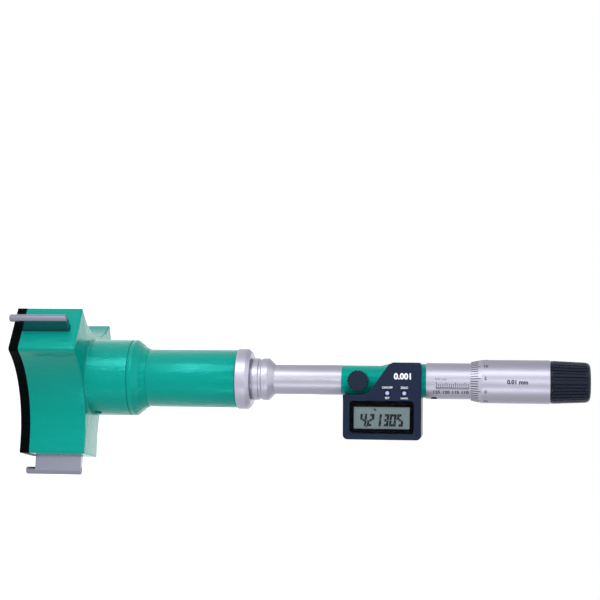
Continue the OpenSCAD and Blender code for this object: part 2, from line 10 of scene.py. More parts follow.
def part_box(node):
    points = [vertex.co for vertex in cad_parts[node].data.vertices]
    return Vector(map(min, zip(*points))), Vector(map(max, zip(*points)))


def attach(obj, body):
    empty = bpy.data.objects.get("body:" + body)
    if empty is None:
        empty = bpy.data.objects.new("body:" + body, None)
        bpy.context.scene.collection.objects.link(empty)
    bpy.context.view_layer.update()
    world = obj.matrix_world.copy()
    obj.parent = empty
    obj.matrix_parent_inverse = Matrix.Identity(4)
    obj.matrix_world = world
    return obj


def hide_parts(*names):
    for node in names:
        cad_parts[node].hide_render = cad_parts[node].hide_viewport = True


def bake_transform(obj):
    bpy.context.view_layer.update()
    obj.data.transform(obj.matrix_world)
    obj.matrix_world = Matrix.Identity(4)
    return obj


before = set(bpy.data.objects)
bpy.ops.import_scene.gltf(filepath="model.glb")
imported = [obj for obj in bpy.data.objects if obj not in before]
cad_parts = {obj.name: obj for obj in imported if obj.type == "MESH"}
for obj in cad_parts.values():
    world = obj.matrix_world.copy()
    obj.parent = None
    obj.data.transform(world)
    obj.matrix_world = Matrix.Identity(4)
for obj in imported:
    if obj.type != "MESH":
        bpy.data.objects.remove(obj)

bl_info = {
    "name": "Inside micrometer",
    "version": (1, 0, 0),
    "blender": (4, 5, 0),
    "location": "View3D > Sidebar > Micrometer",
    "description": "Builds the looks of a three-point inside micrometer around its CAD frame",
    "category": "Object",
}

MM = 0.001
ARMS = ("a", "b", "c")
# Angle between two arms
THIRD = 2 * math.pi / 3
# Corners of a mesh that are closer than this become one
WELD = 2e-6
# Lengths below this count as none
NONE = 1e-6
# How far print stands proud of its surface
PRINT_RISE = 0.015 * MM
# Strips that lettering on a round piece is cut into
TEXT_STRIPS = 10
# Angle of the sleeve's datum line about the axis
DATUM = math.radians(290)


def linear(r, g, b):
    """A colour given in 0 to 255 as the linear values that a shader takes."""
    def one(c):
        c /= 255
        return c / 12.92 if c <= 0.04045 else ((c + 0.055) / 1.055) ** 2.4
    return (one(r), one(g), one(b))


def reach(node):
    """Radius and the two heights of a CAD node that is round about the axis."""
    lo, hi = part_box(node)
    return (hi.x - lo.x) / 2, lo.z, hi.z


# Sizes and colours

class MicrometerSizes(bpy.types.PropertyGroup):
    """Sizes of the pieces that are built new; the rest comes from the CAD frame."""
    arm_turn: FloatProperty(
        name="Arm angle", description="Angle of the first arm about the axis",
        default=math.radians(232), subtype="ANGLE")
    tip_r: FloatProperty(
        name="Tip radius", description="Distance from the axis to the flat tip of an arm",
        default=43 * MM, unit="LENGTH")
    arm_w: FloatProperty(
        name="Arm width", description="Width of an arm at its tip",
        default=27.4 * MM, unit="LENGTH")
    flank_r: FloatProperty(
        name="Flank radius", description="Radius of the hollow flank between two arms",
        default=47 * MM, unit="LENGTH")
    waist_r: FloatProperty(
        name="Waist", description="Distance from the axis to the middle of a hollow flank",
        default=23.1 * MM, unit="LENGTH")
    head_back: FloatProperty(
        name="Back of the head", description="Height of the back face of the head",
        default=35.6 * MM, unit="LENGTH")
    neck_r: FloatProperty(
        name="Neck radius", description="Radius of the neck",
        default=20.7 * MM, unit="LENGTH")
    neck_end: FloatProperty(
        name="End of the neck", description="Height where the neck's shoulder starts",
        default=60.6 * MM, unit="LENGTH")
    head_edge: FloatProperty(
        name="Head edge", description="Rounding of the cast edges of the head",
        default=1.2 * MM, unit="LENGTH")
    panel_edge: FloatProperty(
        name="Panel edge", description="Rounding of the edges of the front panel",
        default=0.7 * MM, unit="LENGTH")
    ticks: IntProperty(
        name="Thimble lines", description="Number of graduations round the thimble", default=50)
    ribs: IntProperty(
        name="Ratchet ribs", description="Number of ribs round the ratchet cap", default=36)
    digit_h: FloatProperty(
        name="Digit height", description="Height of the figures on the display",
        default=6.5 * MM, unit="LENGTH")
    paint_bump: FloatProperty(
        name="Paint unevenness", description="Strength of the uneven cast surface under the paint",
        default=0.36)


class MicrometerColours(bpy.types.PropertyGroup):
    """Colours of the finishes."""
    green: FloatVectorProperty(
        name="Green paint", description="Paint of the head, neck and housing",
        default=linear(0, 134, 121), subtype="COLOR")
    black: FloatVectorProperty(
        name="Black cover", description="Front cover of the head",
        default=linear(4, 7, 8), subtype="COLOR")
    navy: FloatVectorProperty(
        name="Navy panel", description="Front panel of the display",
        default=linear(23, 31, 50), subtype="COLOR")
    satin: FloatVectorProperty(
        name="Satin chrome", description="Barrel, sleeve and thimble",
        default=linear(150, 149, 163), subtype="COLOR")
    steel: FloatVectorProperty(
        name="Ground steel", description="Blades, screws and springs",
        default=linear(124, 125, 139), subtype="COLOR")
    pin: FloatVectorProperty(
        name="Pin steel", description="Measuring pins",
        default=linear(112, 114, 128), subtype="COLOR")
    glass: FloatVectorProperty(
        name="Display", description="Ground of the display",
        default=linear(100, 119, 122), subtype="COLOR")
    ink: FloatVectorProperty(
        name="Ink", description="Engraved lines and display figures",
        default=linear(26, 28, 34), subtype="COLOR")
    print_white: FloatVectorProperty(
        name="White print", description="Lettering on the panel",
        default=linear(232, 236, 244), subtype="COLOR")
    grip: FloatVectorProperty(
        name="Grip", description="Ratchet cap, lock knob and battery cap",
        default=linear(14, 19, 36), subtype="COLOR")


# Finishes

COAT_ROUGHNESS = 0.12
GRAIN_DEPTH = 0.1 * MM


def preset(node, values):
    """Sets sockets of a node that nothing is linked to."""
    for socket, value in values.items():
        node.inputs[socket].default_value = value


def shader_group(name, inputs, outputs):
    """A new shader node group with its interface, and its input and output nodes."""
    tree = bpy.data.node_groups.new(name, "ShaderNodeTree")
    for label, kind, value in inputs:
        tree.interface.new_socket(label, in_out="INPUT", socket_type=kind).default_value = value
    for label, kind in outputs:
        tree.interface.new_socket(label, in_out="OUTPUT", socket_type=kind)
    return tree, tree.nodes.new("NodeGroupInput"), tree.nodes.new("NodeGroupOutput")


def grain_group():
    """Fine grain and broad mottling by place on the object."""
    tree, gin, gout = shader_group(
        "SurfaceGrain",
        [("Fine", "NodeSocketFloat", 2500.0), ("Broad", "NodeSocketFloat", 120.0),
         ("Stretch", "NodeSocketVector", (1.0, 1.0, 1.0))],
        [("Grain", "NodeSocketFloat"), ("Mottle", "NodeSocketFloat")])
    place = tree.nodes.new("ShaderNodeTexCoord")
    pull = tree.nodes.new("ShaderNodeVectorMath")
    pull.operation = "MULTIPLY"
    tree.links.new(place.outputs["Object"], pull.inputs[0])
    tree.links.new(gin.outputs["Stretch"], pull.inputs[1])
    for label, out, detail in (("Fine", "Grain", 3.0), ("Broad", "Mottle", 2.0)):
        noise = tree.nodes.new("ShaderNodeTexNoise")
        noise.inputs["Detail"].default_value = detail
        tree.links.new(pull.outputs[0], noise.inputs["Vector"])
        tree.links.new(gin.outputs[label], noise.inputs["Scale"])
        tree.links.new(noise.outputs["Fac"], gout.inputs[out])
    return tree


def turned_group():
    """Fine lines round the axis, as a lathe leaves them."""
    tree, gin, gout = shader_group(
        "TurnedLines",
        [("Pitch", "NodeSocketFloat", 9000.0)],
        [("Lines", "NodeSocketFloat")])
    place = tree.nodes.new("ShaderNodeTexCoord")
    split = tree.nodes.new("ShaderNodeSeparateXYZ")
    scale = tree.nodes.new("ShaderNodeMath")
    scale.operation = "MULTIPLY"
    noise = tree.nodes.new("ShaderNodeTexNoise")
    noise.noise_dimensions = "1D"
    preset(noise, {"Scale": 1.0, "Detail": 3.0})
    tree.links.new(place.outputs["Object"], split.inputs[0])
    tree.links.new(split.outputs["Z"], scale.inputs[0])
    tree.links.new(gin.outputs["Pitch"], scale.inputs[1])
    tree.links.new(scale.outputs[0], noise.inputs["W"])
    tree.links.new(noise.outputs["Fac"], gout.inputs["Lines"])
    return tree


def shared(name, make):
    """The node group of that name, made on first use."""
    return bpy.data.node_groups.get(name) or make()


def finish(name, colour, dark=0.75, metallic=0.0, rough=(0.35, 0.45), bump=0.05, coat=0.0,
           fine=2500.0, broad=120.0, turned=0.0, mottle_bump=0.0, alpha=1.0, depth=0.3 * MM,
           spec=0.5, tint=(1.0, 1.0, 1.0), stretch=(1.0, 1.0, 1.0)):
    """A material with grain in its colour, gloss and relief."""
    found = bpy.data.materials.get(name)
    if found:
        return found
    mat = bpy.data.materials.new(name)
    mat.use_nodes = True
    nodes, links = mat.node_tree.nodes, mat.node_tree.links
    bsdf = nodes["Principled BSDF"]
    preset(bsdf, {"Metallic": metallic, "Coat Weight": coat, "Coat Roughness": COAT_ROUGHNESS,
                  "Specular IOR Level": spec, "Specular Tint": (*tint, 1), "Alpha": alpha})
    if alpha < 1:
        mat.surface_render_method = "BLENDED"
    grain = nodes.new("ShaderNodeGroup")
    grain.node_tree = shared("SurfaceGrain", grain_group)
    preset(grain, {"Fine": fine, "Broad": broad, "Stretch": stretch})
    mix = nodes.new("ShaderNodeMix")
    mix.data_type = "RGBA"
    preset(mix, {"A": (*[c * dark for c in colour], 1), "B": (*colour, 1)})
    links.new(grain.outputs["Mottle"], mix.inputs["Factor"])
    links.new(mix.outputs["Result"], bsdf.inputs["Base Color"])
    texture = grain.outputs["Grain"]
    if turned:
        lines = nodes.new("ShaderNodeGroup")
        lines.node_tree = shared("TurnedLines", turned_group)
        preset(lines, {"Pitch": turned})
        texture = lines.outputs["Lines"]
    span = nodes.new("ShaderNodeMapRange")
    preset(span, {"To Min": rough[0], "To Max": rough[1]})
    links.new(texture, span.inputs["Value"])
    links.new(span.outputs["Result"], bsdf.inputs["Roughness"])
    relief = nodes.new("ShaderNodeBump")
    preset(relief, {"Strength": bump, "Distance": GRAIN_DEPTH})
    links.new(texture, relief.inputs["Height"])
    if mottle_bump:
        swell = nodes.new("ShaderNodeBump")
        preset(swell, {"Strength": mottle_bump, "Distance": depth})
        links.new(grain.outputs["Mottle"], swell.inputs["Height"])
        links.new(relief.outputs["Normal"], swell.inputs["Normal"])
        relief = swell
    links.new(relief.outputs["Normal"], bsdf.inputs["Normal"])
    return mat


def finishes(context):
    """Every finish of the object, by name."""
    c = context.scene.micrometer_colours
    s = context.scene.micrometer_sizes
    return {
        "green": finish("GreenPaint", c.green, 0.92, rough=(0.2, 0.28), bump=0.01, broad=300.0,
                        mottle_bump=s.paint_bump, depth=MM, spec=0.42, tint=(0.12, 1.0, 0.98),
                        stretch=(1.0, 1.0, 0.35)),
        "green_smooth": finish("GreenPlastic", c.green, 0.95, rough=(0.28, 0.36), bump=0.03,
                               broad=60.0, spec=0.35, tint=(0.06, 1.0, 0.96)),
        "black": finish("BlackCover", c.black, 0.7, rough=(0.34, 0.42), bump=0.02, spec=0.012),
        "navy": finish("NavyPanel", c.navy, 0.92, rough=(0.36, 0.42), bump=0.02, fine=4000.0,
                       spec=0.16, tint=(0.5, 0.6, 1.0)),
        "satin": finish("SatinChrome", c.satin, 0.96, metallic=1.0, rough=(0.36, 0.46),
                        bump=0.04, turned=9000.0, broad=40.0),
        "steel": finish("GroundSteel", c.steel, 0.9, metallic=1.0, rough=(0.15, 0.22),
                        bump=0.03, fine=1800.0),
        "pin": finish("PinSteel", c.pin, 0.95, metallic=1.0, rough=(0.42, 0.48), bump=0.01),
        "brass": finish("Brass", linear(190, 150, 80), 0.85, metallic=1.0, rough=(0.28, 0.4)),
        "mask": finish("DisplayMask", linear(3, 5, 7), 0.8, rough=(0.3, 0.4), spec=0.015),
        "window": finish("DisplayWindow", linear(12, 14, 16), 0.95, rough=(0.04, 0.07),
                         bump=0.0, coat=0.2, alpha=0.05),
        "lcd": finish("DisplayGround", c.glass, 0.93, rough=(0.45, 0.55), bump=0.02, broad=30.0),
        "board": finish("CircuitBoard", linear(20, 92, 58), 0.7, rough=(0.4, 0.55)),
        "rubber": finish("Grip", c.grip, 0.75, rough=(0.26, 0.34), bump=0.02, spec=0.2,
                         tint=(0.5, 0.75, 1.0)),
        "cap": finish("RatchetCap", c.grip, 0.8, rough=(0.22, 0.26), bump=0.003, fine=900.0,
                      spec=0.14, tint=(0.75, 0.85, 1.0)),
        "ink": finish("Ink", c.ink, 0.8, rough=(0.5, 0.6), spec=0.1),
        "faint": finish("FaintEngraving", linear(150, 150, 160), 0.85, rough=(0.5, 0.6)),
        "white": finish("WhitePrint", c.print_white, 0.94, rough=(0.4, 0.5)),
        "button": finish("ButtonCap", linear(160, 182, 214), 0.94, rough=(0.25, 0.32)),
        "ring": finish("ButtonRing", linear(16, 20, 46), 0.85, rough=(0.3, 0.4), spec=0.08),
    }


# Mesh helpers

def link(name, data):
    """A new object of the scene."""
    obj = bpy.data.objects.new(name, data)
    bpy.context.scene.collection.objects.link(obj)
    return obj


def from_bmesh(name, bm, smooth=34):
    """A new object from a bmesh, smooth except at sharp edges."""
    bmesh.ops.recalc_face_normals(bm, faces=bm.faces)
    mesh = bpy.data.meshes.new(name)
    bm.to_mesh(mesh)
    bm.free()
    shade(mesh, smooth)
    return link(name, mesh)


def shade(mesh, smooth=34):
    """Smooth shading, with edges sharper than the angle kept sharp."""
    custom = mesh.attributes.get("custom_normal")
    if custom:
        mesh.attributes.remove(custom)
    mesh.polygons.foreach_set("use_smooth", [True] * len(mesh.polygons))
    mesh.set_sharp_from_angle(angle=math.radians(smooth))


def weld(mesh):
    """Corners that fall together become one, so that no face is left without an area."""
    bm = bmesh.new()
    bm.from_mesh(mesh)
    bmesh.ops.remove_doubles(bm, verts=bm.verts, dist=WELD)
    bm.to_mesh(mesh)
    bm.free()


def evaluated(obj):
    """A new mesh of an object with its modifiers."""
    bpy.context.view_layer.update()
    deps = bpy.context.evaluated_depsgraph_get()
    return bpy.data.meshes.new_from_object(obj.evaluated_get(deps), depsgraph=deps)


def bake(obj):
    """The modifiers of an object made part of its mesh."""
    mesh, old = evaluated(obj), obj.data
    obj.modifiers.clear()
    obj.data = mesh
    bpy.data.meshes.remove(old)
    mesh.name = obj.name
    return obj


def bevel(obj, width, segments=3, limit=34):
    """Rounds the edges that are sharper than the limit."""
    mod = obj.modifiers.new("edge", "BEVEL")
    mod.width, mod.segments, mod.limit_method = width, segments, "ANGLE"
    mod.angle_limit = math.radians(limit)
    mod.use_clamp_overlap = True
    mod.harden_normals = True
    return bake(obj)


def combine(obj, other, how):
    """Boolean of two closed meshes; the second one is used up."""
    mod = obj.modifiers.new("join", "BOOLEAN")
    mod.operation, mod.solver, mod.object = how, "EXACT", other
    bake(obj)
    bpy.data.objects.remove(other)
    return obj


def merge(name, objs):
    """One object from several; each keeps its own materials."""
    bm = bmesh.new()
    mats = []
    for o in objs:
        start = len(bm.faces)
        bm.from_mesh(o.data)
        bm.faces.ensure_lookup_table()
        own = list(o.data.materials) or [None]
        for f in bm.faces[start:]:
            m = own[min(f.material_index, len(own) - 1)]
            if m not in mats:
                mats.append(m)
            f.material_index = mats.index(m)
    mesh = bpy.data.meshes.new(name)
    bm.to_mesh(mesh)
    bm.free()
    for m in mats:
        mesh.materials.append(m)
    for o in objs:
        bpy.data.objects.remove(o)
    return link(name, mesh)


def rounded(points, radius, steps=5):
    """A closed outline with its corners rounded; a third value sets a corner's own radius."""
    straight, share = 0.02, 0.49
    out = []
    for i, p in enumerate(points):
        r = p[2] if len(p) > 2 else radius
        a, b = Vector(points[i - 1][:2]), Vector(p[:2])
        c = Vector(points[(i + 1) % len(points)][:2])
        u, v = a - b, c - b
        lu, lv = u.length, v.length
        u.normalize()
        v.normalize()
        angle = math.acos(max(-1.0, min(1.0, u.dot(v))))
        if r <= 0 or angle > math.pi - straight or angle < straight:
            out.append((b.x, b.y))
            continue
        t = min(r / math.tan(angle / 2), share * lu, share * lv)
        r = t * math.tan(angle / 2)
        mid = b + (u + v).normalized() * (r / math.sin(angle / 2))
        p0, p1 = b + u * t - mid, b + v * t - mid
        start = math.atan2(p0.y, p0.x)
        turn = (math.atan2(p1.y, p1.x) - start + math.pi) % (2 * math.pi) - math.pi
        for k in range(steps + 1):
            th = start + turn * k / steps
            out.append((mid.x + r * math.cos(th), mid.y + r * math.sin(th)))
    return out


def circle(radius, sides):
    """Points of a circle about the axis."""
    turns = [2 * math.pi * k / sides for k in range(sides)]
    return [(radius * math.cos(a), radius * math.sin(a)) for a in turns]


def lathe(name, profile, segments=144):
    """A solid turned from a closed profile of radius and height."""
    bm = bmesh.new()
    rings = []
    for r, z in profile:
        if r < NONE:
            rings.append([bm.verts.new((0, 0, z))])
        else:
            rings.append([bm.verts.new((x, y, z)) for x, y in circle(r, segments)])
    for i, a in enumerate(rings):
        b = rings[(i + 1) % len(rings)]
        if len(a) == 1 and len(b) == 1:
            continue
        for k in range(segments):
            n = (k + 1) % segments
            corners = [a[k % len(a)], a[n % len(a)], b[n % len(b)], b[k % len(b)]]
            bm.faces.new(list(dict.fromkeys(corners)))
    return from_bmesh(name, bm)


def prism(name, outline, low, high, place=None):
    """A closed outline given thickness along Z, then put in place."""
    bm = bmesh.new()
    face = bm.faces.new([bm.verts.new((x, y, low)) for x, y in outline])
    made = bmesh.ops.extrude_face_region(bm, geom=[face])
    up = [v for v in made["geom"] if isinstance(v, bmesh.types.BMVert)]
    bmesh.ops.translate(bm, verts=up, vec=(0, 0, high - low))
    if place:
        bmesh.ops.transform(bm, matrix=place, verts=bm.verts)
    return from_bmesh(name, bm)


def eased_back(name, outline, low, high, width):
    """A prism whose edge at the high end is rounded."""
    obj = prism(name, outline, low, high)
    bm = bmesh.new()
    bm.from_mesh(obj.data)
    rim = [e for e in bm.edges if all(abs(v.co.z - high) < NONE for v in e.verts)]
    bmesh.ops.bevel(bm, geom=rim, offset=width, segments=4, profile=0.5, affect="EDGES",
                    clamp_overlap=False)
    bmesh.ops.remove_doubles(bm, verts=bm.verts, dist=NONE)
    bmesh.ops.recalc_face_normals(bm, faces=bm.faces)
    bm.to_mesh(obj.data)
    bm.free()
    shade(obj.data)
    return obj


def rod(name, radius, low, high, place=None, segments=48):
    """A round rod along Z, then put in place."""
    return prism(name, circle(radius, segments), low, high, place)


def sideways(angle, z):
    """A place at a height on the axis whose own Z points outwards at the angle."""
    return (Matrix.Rotation(angle, 4, "Z") @ Matrix.Translation((0, 0, z))
            @ Matrix.Rotation(math.pi / 2, 4, "Y"))


def dressed(node, width, segments=2, limit=30, name=None):
    """A copy of a CAD node with its seams closed and its edges eased."""
    flat = math.radians(0.6)
    bm = bmesh.new()
    bm.from_mesh(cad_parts[node].data)
    bmesh.ops.remove_doubles(bm, verts=bm.verts, dist=WELD)
    bmesh.ops.dissolve_limit(bm, angle_limit=flat, verts=bm.verts, edges=bm.edges)
    obj = from_bmesh(name or node + "_look", bm)
    return bevel(obj, width, segments, limit) if width else obj


def paint(obj, mat):
    """Gives the whole piece one finish."""
    obj.data.materials.clear()
    obj.data.materials.append(mat)
    return obj


def paint_deep(obj, mat, place, radius, outer):
    """The faces inside a round hole, below its mouth, get a dark finish of their own as painted shade
    in the hole.
    """
    obj.data.materials.append(mat)
    back = place.inverted()
    for face in obj.data.polygons:
        at = back @ face.center
        if math.hypot(at.x, at.y) < radius and 0 < at.z < outer:
            face.material_index = len(obj.data.materials) - 1


def settle(obj, body, slot, *nodes):
    """The piece rides on its body and stands for its CAD nodes; its slot is not used."""
    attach(obj, body)
    if nodes:
        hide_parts(*nodes)
    return obj


# Repeated pieces

def repeat_tree():
    """Repeats its mesh by a turn about Z and a step, and gives the copies a material."""
    tree = bpy.data.node_groups.get("RepeatPiece")
    if tree:
        return tree
    tree = bpy.data.node_groups.new("RepeatPiece", "GeometryNodeTree")
    for label, kind in (("Geometry", "NodeSocketGeometry"), ("Count", "NodeSocketInt"),
                        ("Turn", "NodeSocketFloat"), ("Step", "NodeSocketVector"),
                        ("Material", "NodeSocketMaterial")):
        tree.interface.new_socket(label, in_out="INPUT", socket_type=kind)
    tree.interface.new_socket("Geometry", in_out="OUTPUT", socket_type="NodeSocketGeometry")
    nodes, links = tree.nodes, tree.links
    gin, gout = nodes.new("NodeGroupInput"), nodes.new("NodeGroupOutput")
    points, index = nodes.new("GeometryNodePoints"), nodes.new("GeometryNodeInputIndex")
    along = nodes.new("ShaderNodeVectorMath")
    along.operation = "SCALE"
    about = nodes.new("ShaderNodeMath")
    about.operation = "MULTIPLY"
    turn = nodes.new("ShaderNodeCombineXYZ")
    copies = nodes.new("GeometryNodeInstanceOnPoints")
    real = nodes.new("GeometryNodeRealizeInstances")
    coat = nodes.new("GeometryNodeSetMaterial")
    links.new(gin.outputs["Count"], points.inputs["Count"])
    links.new(gin.outputs["Step"], along.inputs[0])
    links.new(index.outputs[0], along.inputs["Scale"])
    links.new(along.outputs["Vector"], points.inputs["Position"])
    links.new(index.outputs[0], about.inputs[0])
    links.new(gin.outputs["Turn"], about.inputs[1])
    links.new(about.outputs[0], turn.inputs["Z"])
    links.new(points.outputs[0], copies.inputs["Points"])
    links.new(gin.outputs["Geometry"], copies.inputs["Instance"])
    links.new(turn.outputs[0], copies.inputs["Rotation"])
    links.new(copies.outputs[0], real.inputs[0])
    links.new(real.outputs[0], coat.inputs["Geometry"])
    links.new(gin.outputs["Material"], coat.inputs["Material"])
    links.new(coat.outputs[0], gout.inputs[0])
    return tree


def repeat(obj, count, mat, turn=0.0, step=(0, 0, 0)):
    """The piece repeated, as one plain mesh."""
    tree = repeat_tree()
    mod = obj.modifiers.new("repeat", "NODES")
    mod.node_group = tree
    wanted = {"Count": count, "Turn": turn, "Step": step, "Material": mat}
    for item in tree.interface.items_tree:
        if item.in_out == "INPUT" and item.name in wanted:
            mod[item.identifier] = wanted[item.name]
    return bake(obj)


# Lettering

# How far a display figure leans for each unit of height
SLANT = 0.1
SEGMENTS = {
    "0": "abcdef", "1": "bc", "2": "abged", "3": "abgcd", "4": "fgbc",
    "5": "afgcd", "6": "afgedc", "7": "abc", "8": "abcdefg", "9": "abcdfg",
}


def flat_text(words, size, bold=0.0, strips=1):
    """Corners and faces of a flat text about its middle, cut into strips for a round surface."""
    data = bpy.data.curves.new("words", "FONT")
    data.body, data.size = words, size
    data.align_x, data.align_y = "CENTER", "CENTER"
    data.offset = bold * size
    data.resolution_u = 3
    obj = link("words", data)
    mesh = evaluated(obj)
    bm = bmesh.new()
    bm.from_mesh(mesh)
    for k in range(1, strips):
        bmesh.ops.bisect_plane(
            bm, geom=[*bm.verts, *bm.edges, *bm.faces],
            plane_co=(0, size * (k / strips - 0.5), 0), plane_no=(0, 1, 0))
    bm.to_mesh(mesh)
    bm.free()
    made = ([(v.co.x, v.co.y) for v in mesh.vertices], [list(p.vertices) for p in mesh.polygons])
    bpy.data.objects.remove(obj)
    bpy.data.curves.remove(data)
    bpy.data.meshes.remove(mesh)
    return made


def bar(length, width, cuts=1):
    """A flat bar from the middle of its left end, cut across its width for a round surface."""
    points, polys = [], []
    for k in range(cuts + 1):
        v = -width / 2 + width * k / cuts
        points += [(0, v), (length, v)]
        if k:
            polys.append([2 * k - 2, 2 * k - 1, 2 * k + 1, 2 * k])
    return points, polys


def flat_ring(inner, outer, sides=32):
    """A flat ring about its middle."""
    points, polys = [], []
    for k, pair in enumerate(zip(circle(inner, sides), circle(outer, sides))):
        points += pair
        n = (k + 1) % sides
        polys.append([2 * k, 2 * k + 1, 2 * n + 1, 2 * n])
    return points, polys


def figure(digit, height):
    """A seven-bar figure, slanted, about its middle."""
    w, t = 0.36 * height, 0.19 * height
    gap = 0.1 * t
    x, y = (w + t) / 2, height / 2
    side = (w - t) / 2
    boxes = {
        "a": (-side, y - t, side, y),
        "g": (-side, -t / 2, side, t / 2),
        "d": (-side, -y, side, t - y),
        "f": (-x, gap, t - x, y),
        "b": (x - t, gap, x, y),
        "e": (-x, -y, t - x, -gap),
        "c": (x - t, -y, x, -gap),
    }
    points, polys = [], []
    for key in SEGMENTS[digit]:
        x0, y0, x1, y1 = boxes[key]
        polys.append([len(points) + k for k in range(4)])
        points += [(u + SLANT * v, v) for u, v in ((x0, y0), (x1, y0), (x1, y1), (x0, y1))]
    return points, polys


def on_panel(x, z, y):
    """Text place on the front of the display: right is +Z, up is -X."""
    return lambda u, v: (x - v, y, z + u)


def on_round(radius, angle, z, slope=0.0):
    """Text place on a round piece: right is +Z, up is against the angle."""
    def put(u, v):
        r = radius + slope * u
        a = angle - v / radius
        return (r * math.cos(a), r * math.sin(a), z + u)
    return put


def printed(name, items, mat):
    """One mesh from flat shapes, each with a function that puts its corners in place."""
    verts, faces = [], []
    for (points, polys), put in items:
        base = len(verts)
        verts += [put(x, y) for x, y in points]
        faces += [[base + i for i in p] for p in polys]
    mesh = bpy.data.meshes.new(name)
    mesh.from_pydata(verts, [], faces)
    return paint(link(name, mesh), mat)


# The pieces, one operator each

class BuildHead(bpy.types.Operator):
    """Builds the three-armed head, its cover, screws, blades and pins"""
    bl_idname = "micrometer.head"
    bl_label = "Head"

    def flank(self, s, angle, start, chord):
        """Points of the hollow between two arms, from its start along its chord."""
        steps, every, half_sweep, clear = 400, 6, 0.8, 0.01 * MM
        out = Vector((math.cos(angle), math.sin(angle)))
        middle = out * (s.waist_r + s.flank_r)
        arc = []
        for j in range(1, steps):
            th = angle + math.pi - half_sweep + 2 * half_sweep * j / steps
            arc.append(middle + s.flank_r * Vector((math.cos(th), math.sin(th))))
        # Only the stretch that lies deeper than the arms' corners counts
        kept = [e for e in arc if (e - start).dot(out) < -clear]
        kept.sort(key=lambda e: (e - start).dot(chord))
        return kept[every::every]

    def outline(self, s):
        """Outline of the head: three flat tips with hollow flanks between them."""
        turns = [s.arm_turn + k * THIRD for k in range(len(ARMS))]
        tips = []
        for a in turns:
            tips.append([Vector((
                s.tip_r * math.cos(a) - side * s.arm_w / 2 * math.sin(a),
                s.tip_r * math.sin(a) + side * s.arm_w / 2 * math.cos(a))) for side in (-1, 1)])
        points = []
        for k, a in enumerate(turns):
            first, last = tips[k]
            following = tips[(k + 1) % len(tips)][0]
            points += [(p.x, p.y, s.head_edge) for p in (first, last)]
            hollow = self.flank(s, a + THIRD / 2, last, (following - last).normalized())
            points += [(e.x, e.y, 0) for e in hollow]
        return rounded(points, 0)

    def neck(self, s):
        """The turned neck with its cove, its groove and its shoulder."""
        tube, _, _ = reach("neck_tube")
        _, _, shoulder = reach("head_body")
        r, end, back = s.neck_r, s.neck_end, s.head_back
        root, cove_r, cove_steps = back - 3 * MM, MM, 5
        groove_low, groove_high, groove_r = end - 2.6 * MM, end - 2 * MM, r - 0.6 * MM
        step_out, step_in, step_z = 17.8 * MM, 17.3 * MM, 64.19 * MM
        cove = [(r + cove_r - cove_r * math.cos(t), back - cove_r * math.sin(t) + cove_r, 0)
                for t in (math.pi / 2 * (1 - k / cove_steps) for k in range(cove_steps + 1))]
        return lathe("neck", rounded([
            (0, root, 0), (r + cove_r, root, 0), *cove, (r, groove_low), (groove_r, groove_low),
            (groove_r, groove_high), (r, groove_high), (r, end, 0.8 * MM), (step_out, step_z),
            (step_in, step_z, 0), (tube, shoulder, 0), (0, shoulder, 0)], 0.2 * MM))

    def hollow_out(self, s, head, low):
        """Cuts the chamber for the cone, the blades' slots and the holes of pins and screw."""
        _, _, shoulder = reach("head_body")
        below, above = low - MM, shoulder + MM
        chamber_r, chamber_end, seat_r = 16.7 * MM, 63.5 * MM, 12.55 * MM
        slot_half, slot_top, slot_end = 2.05 * MM, 31.1 * MM, s.tip_r + 5 * MM
        pin_r, pin_low, pin_high, pin_out = 1.5 * MM, 30 * MM, 34.6 * MM, s.tip_r - 16 * MM
        screw_r, screw_in, screw_out = 2.1 * MM, 15 * MM, 30 * MM
        screw_turn, screw_up = math.radians(104), 4.6 * MM
        bore = lathe("bore", [
            (0, below), (chamber_r, below), (chamber_r, chamber_end), (seat_r, chamber_end),
            (seat_r, above), (0, above)], 96)
        combine(head, bore, "DIFFERENCE")
        for k in range(len(ARMS)):
            turn = Matrix.Rotation(s.arm_turn + k * THIRD, 4, "Z")
            slot = prism("slot", [(0, -slot_half), (slot_end, -slot_half),
                                  (slot_end, slot_half), (0, slot_half)], below, slot_top, turn)
            combine(head, slot, "DIFFERENCE")
            pin = rod("pin_hole", pin_r, pin_low, pin_high,
                      turn @ Matrix.Translation((pin_out, 0, 0)), 24)
            combine(head, pin, "DIFFERENCE")
        side = sideways(s.arm_turn + screw_turn, s.head_back + screw_up)
        combine(head, rod("screw_hole", screw_r, screw_in, screw_out, side, 32), "DIFFERENCE")

    def execute(self, context):
        s, f = context.scene.micrometer_sizes, finishes(context)
        outline = self.outline(s)
        lo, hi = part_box("front_cover")
        head = eased_back("head_look", outline, hi.z, s.head_back, 0.7 * s.head_edge)
        combine(head, self.neck(s), "UNION")
        self.hollow_out(s, head, hi.z)
        weld(head.data)
        shade(head.data, 40)
        settle(paint(head, f["green"]), "frame", "green", "head_body")
        cover = dressed("front_cover", 0.45 * MM, 3, name="cover_look")
        combine(cover, prism("trim", outline, lo.z - MM, hi.z + MM), "INTERSECT")
        weld(cover.data)
        shade(cover.data)
        settle(paint(cover, f["black"]), "frame", "black_cover", "front_cover")
        for node in ("cover_screws", "neck_screw"):
            settle(paint(dressed(node, 0.1 * MM), f["steel"]), "frame", "steel", node)
        for arm in ARMS:
            for kind, edge, key in (("anvil_blade_", 0.18, "steel"), ("measuring_pin_", 0.08, "pin")):
                node = kind + arm
                settle(paint(dressed(node, edge * MM), f[key]), "anvil_" + arm, "steel", node)
        return {"FINISHED"}


